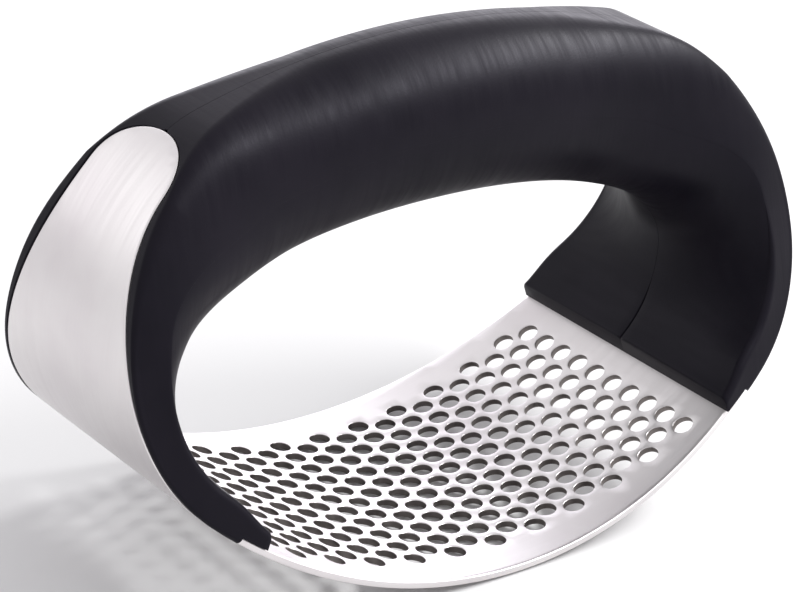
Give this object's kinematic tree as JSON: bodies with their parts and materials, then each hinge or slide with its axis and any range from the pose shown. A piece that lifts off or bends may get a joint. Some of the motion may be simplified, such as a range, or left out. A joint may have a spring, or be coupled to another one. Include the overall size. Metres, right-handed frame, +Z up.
{
  "type": "rocker garlic press",
  "caption": "Rocker garlic press: a bent steel strip whose middle is a curved perforated plate, held at both ends by an arched two-shell moulded handle.",
  "frame": {"origin": "lowest line of the curved plate, under the middle of the press", "axes": "+X along the press towards its right foot, +Z up out of the plate towards the grip, -Y towards the front"},
  "size_m": [0.1084, 0.0528, 0.0701],
  "materials": {
    "strip_steel": "satin, brushed along the strip",
    "grip_plastic": "satin black moulding",
    "fixing_steel": "plain turned and stamped steel, hidden inside the handle"
  },
  "bodies": {
    "root": {"rocker_strip": "strip_steel", "grip_shell_front": "grip_plastic", "grip_shell_back": "grip_plastic", "strip_anchor_left": "fixing_steel", "strip_anchor_right": "fixing_steel", "cross_pin_left": "fixing_steel", "cross_pin_right": "fixing_steel"}
  },
  "joints": []
}
